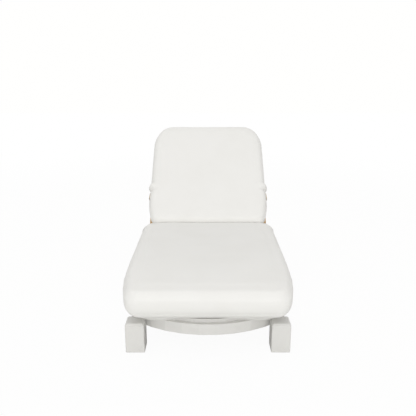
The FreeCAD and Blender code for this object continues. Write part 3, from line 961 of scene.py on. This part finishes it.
def pushedOut(line, by):
    # Moves a level closed line out along its own plan normal
    along = np.roll(line, -1, 0) - np.roll(line, 1, 0)
    side = np.column_stack([along[:, 1], -along[:, 0], np.zeros(len(line))])
    side /= np.maximum(np.linalg.norm(side, axis=1, keepdims=True), 1e-9)
    outward = np.sign(np.sum(side * (line - line.mean(0)), axis=1).sum())
    return line + side * outward * by


def curveOf(line, loop=True):
    data = bpy.data.curves.new("line", "CURVE")
    data.dimensions = "3D"
    spline = data.splines.new("POLY")
    spline.points.add(len(line) - 1)
    spline.points.foreach_set("co", np.column_stack([line, np.ones(len(line))]).ravel())
    spline.use_cyclic_u = loop
    return addObject("line", data)


seamSizes = {
    "piping": 0.0021, "rowGap": 0.0062, "pitch": 0.0046, "stitch": (0.00042, 0.00042, 0.0015), "step": 0.006,
    "lift": 0.0001,
}


def stitched(line):
    return grown("stitches", curveOf(line), stitches, Pitch=seamSizes["pitch"], Stitch=seamSizes["stitch"],
                 Material=thread)


def seam(name, mesh, height, turn, body):
    # A welt with a row of stitches above and below it
    sizes = seamSizes
    middle = evened(cutLoop(mesh, height), sizes["step"])
    welt = grown("piping", curveOf(middle), piping, Radius=sizes["piping"], Material=cover)
    rows = []
    for way in (-1, 1):
        line = evened(cutLoop(mesh, height + way * sizes["rowGap"]), sizes["step"])
        rows.append(stitched(pushedOut(line, sizes["lift"])))
    for made, label, material in ((welt, "Piping", cover), (joined(rows), "Stitches", thread)):
        if turn is not None:
            made.transform(turn)
        finish(name + label, made, body, material)


seam("seat", seatFlat, seatSizes["seamHeight"], None, "base")
seam("back", backFlat, backSizes["seamHeight"], backTurn, "back")
print("seams made")


# Straps

strapSizes = {
    "start": 0.275, "end": 0.316, "thick": 0.0020, "roundSteps": 6, "stile": 0.3773,
    "lean": 0.0032, "leanStart": 0.03, "leanRise": 0.05,
    "line": ((0.0, -0.0115), (0.0, 0.004), (0.0002, 0.0165), (0.0015, 0.035), (0.0032, 0.058),
             (0.0050, 0.078), (0.0063, 0.093), (0.0058, 0.103), (0.0026, 0.110), (-0.0040, 0.1145),
             (-0.0110, 0.117)),
    "stitchInset": 0.0035, "stitchLow": -0.0085, "stitchHigh": 0.0125, "stitchLift": 0.0011,
    "screwPlaces": ((0.286, 0.002), (0.305, 0.002)), "screwLift": 0.0004, "head": (0.00153, 0.0034, 0.0034),
    "washerRadius": 0.0046, "washerThick": 0.0009,
}


def strapPath(side):
    # The strap's middle line, from the stile over the cushion's edge
    data = bpy.data.curves.new("strapLine", "CURVE")
    data.dimensions = "3D"
    data.resolution_u = 6
    spline = data.splines.new("NURBS")
    spline.points.add(len(strapSizes["line"]) - 1)
    for point, (x, w) in zip(spline.points, strapSizes["line"]):
        point.co = (side * (strapSizes["stile"] + x), 0, w, 1)
    spline.order_u = 4
    spline.use_endpoint_u = True
    line = addObject("strapLine", data)
    path = points(baked(line))
    drop(line)
    return path


def strapMesh(side):
    # A flat band with rounded selvedges, up the stile and into the crease
    sizes = strapSizes
    path = strapPath(side)
    half = (sizes["end"] - sizes["start"]) / 2
    middle = (sizes["end"] + sizes["start"]) / 2
    thick = sizes["thick"] / 2
    angles = [math.pi / 2 - math.pi * i / sizes["roundSteps"] for i in range(sizes["roundSteps"] + 1)]
    section = [(half - thick + thick * math.cos(angle), thick * math.sin(angle)) for angle in angles]
    ring = section + [(-wide, -high) for wide, high in section]
    tangents = np.gradient(path, axis=0)
    tangents /= np.linalg.norm(tangents, axis=1, keepdims=True)
    travel = np.r_[0, np.cumsum(np.linalg.norm(np.diff(path, axis=0), axis=1))]
    work = bmesh.new()
    layer = work.loops.layers.uv.new("weave")
    rows = []
    for spot, tangent in zip(path, tangents):
        out = Vector((tangent[2], 0, -tangent[0])) * side
        if out.x * side < 0:
            out = -out
        # the upper edge is drawn inward above the stile
        lean = -side * sizes["lean"] * ramp(spot[2] - sizes["leanStart"], sizes["leanRise"])
        row = []
        for wide, high in ring:
            aside = Vector((lean * (wide + half) / (2 * half), middle + wide, 0))
            row.append(work.verts.new(Vector(spot) + aside + out * high))
        rows.append(row)
    for i in range(len(rows) - 1):
        for j in range(len(ring)):
            k = (j + 1) % len(ring)
            corners = ((i, j), (i, k), (i + 1, k), (i + 1, j))
            face = work.faces.new([rows[row][spot] for row, spot in corners])
            for loop, (row, spot) in zip(face.loops, corners):
                loop[layer].uv = (travel[row], ring[spot][0] + half)
    for row in (rows[0], rows[-1]):
        work.faces.new(row)
    bmesh.ops.recalc_face_normals(work, faces=work.faces)
    mesh = closed(work, "strap")
    smoothShade(mesh)
    return mesh


strapPair = joined([strapMesh(1), strapMesh(-1)])
strapPair.transform(backTurn)
straps = finish("cushionStraps", strapPair, "back", webbing)
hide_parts("cushion_straps")


def screwTree():
    # A domed screw on a washer at each point, looking along X
    tree = Tree("strapScrews", {"Head": "Vector", "Washer": "Float", "Thick": "Float"})
    spots = tree.given("Geometry")
    dome = tree.node("GeometryNodeMeshUVSphere", None, {"Segments": 20, "Rings": 10, "Radius": 1.0})
    ring = tree.node("GeometryNodeMeshCylinder", None, {
        "Vertices": 28, "Radius": tree.given("Washer"), "Depth": tree.given("Thick")})
    both = tree.node("GeometryNodeJoinGeometry")
    for part in (tree.placed(spots, dome, Scale=tree.given("Head")),
                 tree.placed(spots, ring, Rotation=(0, math.radians(90), 0))):
        tree.group.links.new(part, both.inputs[0])
    return tree.end(both.outputs[0])


def strapTrim():
    # The screws that hold each strap to its stile, and the box of stitches round them
    sizes = strapSizes
    face = sizes["stile"] + sizes["stitchLift"]
    spots = bpy.data.meshes.new("screwSpots")
    spots.from_pydata([(side * (face + sizes["screwLift"]), u, w)
                       for side in (1, -1) for u, w in sizes["screwPlaces"]], [], [])
    screws = grown("strapScrews", addObject("screwSpots", spots), screwTree(), Head=sizes["head"],
                   Washer=sizes["washerRadius"], Thick=sizes["washerThick"], Material=zinc)
    left, right = sizes["start"] + sizes["stitchInset"], sizes["end"] - sizes["stitchInset"]
    low, high = sizes["stitchLow"], sizes["stitchHigh"]
    corners = ((left, low), (right, low), (right, high), (left, high))
    boxes = [stitched(np.array([(side * face, u, w) for u, w in corners])) for side in (1, -1)]
    for label, mesh, slot, material in (
            ("strapScrews", screws, "bright_steel", zinc),
            ("strapStitches", joined(boxes), "webbing", thread)):
        mesh.transform(backTurn)
        finish(label, mesh, "back", material)


strapTrim()
print("straps made")


# Zips, on the back edge of each cover

zipSizes = {
    "seat": {"cast": 0.15, "height": 0.290, "half": 0.255},
    "back": {"cast": 1.05, "height": 0.0600, "half": 0.225},
    "step": 0.006, "tape": 0.0085, "tapeSpots": 7, "lift": 0.0004, "thick": 0.0005,
    "pitch": 0.0024, "tooth": (0.0013, 0.0014, 0.0026), "toothLift": 0.0006, "side": (0, 0, 0.0008),
    "slider": (0.0062, 0.0030, 0.0095), "sliderBevel": 0.0009, "sliderAt": -3,
    "pull": (0.0052, 0.0009, 0.0200), "pullBevel": 0.0004,
}


def zipTape(skin, place):
    # A narrow tape laid on the cover, found by rays from behind
    sizes = zipSizes
    work = opened(skin)
    tree = BVHTree.FromBMesh(work)
    work.free()
    count = int(2 * place["half"] / sizes["step"]) + 1
    across = np.linspace(-sizes["tape"], sizes["tape"], sizes["tapeSpots"])
    lift = Vector((0, sizes["lift"], 0))
    rows = [[tree.ray_cast(Vector((x, place["cast"], place["height"] + up)), Vector((0, -1, 0)))[0] + lift
             for up in across] for x in np.linspace(-place["half"], place["half"], count)]
    grid = bmesh.new()
    spots = [[grid.verts.new(spot) for spot in row] for row in rows]
    for here, after in zip(spots, spots[1:]):
        for j in range(len(across) - 1):
            grid.faces.new((here[j], here[j + 1], after[j + 1], after[j]))
    tape = modified(closed(grid, "zipTape"), "SOLIDIFY", thickness=sizes["thick"], offset=0)
    smoothShade(tape)
    middle = np.array([row[len(across) // 2] for row in rows])
    return tape, middle + np.array([0, sizes["thick"] + sizes["toothLift"], 0])


def block(size, place, bevel):
    work = bmesh.new()
    bmesh.ops.create_cube(work, size=1.0, matrix=Matrix.Translation(place) @ Matrix.Diagonal((*size, 1)))
    bmesh.ops.bevel(work, geom=work.edges[:], offset=bevel, segments=3, profile=0.5, affect="EDGES")
    return closed(work, "block")


def zipped(name, skin, turn, body):
    sizes = zipSizes
    tape, line = zipTape(skin, sizes[name])
    rows = grown("zipTeeth", curveOf(line, False), teeth, Pitch=sizes["pitch"], Tooth=sizes["tooth"],
                 Side=sizes["side"], Material=zinc)
    rise = Vector((0, sizes["slider"][1] / 2, 0))
    end = Vector(line[sizes["sliderAt"]]) + rise
    slider = block(sizes["slider"], end, sizes["sliderBevel"])
    pull = block(sizes["pull"], end + rise - Vector((0, 0, sizes["pull"][2] / 2)), sizes["pullBevel"])
    for label, mesh, slot, material in (
            ("ZipTape", tape, "cushion_cover", thread), ("ZipTeeth", rows, "bush_plastic", nylon),
            ("ZipSlider", joined([slider, pull]), "bright_steel", zinc)):
        if turn is not None:
            mesh.transform(turn)
        finish(name + label, mesh, body, material)


zipped("seat", seatFlat, None, "base")
zipped("back", backFlat, backTurn, "back")
print("zips made")


# Lipping on the deck's front edge, a crescent that follows the apron's bow

lippingSizes = {"reach": 0.025, "bow": 0.140, "steps": 33, "seatGap": 0.0002, "bevel": 0.0012}


def lippingMesh():
    sizes = lippingSizes
    low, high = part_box("seat_deck")
    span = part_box("front_apron")[1][0]
    half = span * math.sqrt(sizes["reach"] / sizes["bow"])
    work = bmesh.new()
    rim = [work.verts.new((x, low[1] - sizes["reach"] + sizes["bow"] * (x / span) ** 2, low[2]))
           for x in np.linspace(-half, half, sizes["steps"])]
    raised = bmesh.ops.extrude_face_region(work, geom=[work.faces.new(rim)])["geom"]
    upper = [item for item in raised if isinstance(item, bmesh.types.BMVert)]
    bmesh.ops.translate(work, verts=upper, vec=(0, 0, high[2] - sizes["seatGap"] - low[2]))
    bmesh.ops.recalc_face_normals(work, faces=work.faces)
    edges = [edge for edge in work.edges if all(vert.co.y < low[1] - sizes["bevel"] for vert in edge.verts)
             and edge.verts[0].co.x != edge.verts[1].co.x]
    bmesh.ops.bevel(work, geom=edges, offset=sizes["bevel"], segments=2, profile=0.5, affect="EDGES",
                    clamp_overlap=True)
    return closed(work, "lipping")


finish("deckLipping", lippingMesh(), "base", lacquers["crosswise"])
print("lipping made")
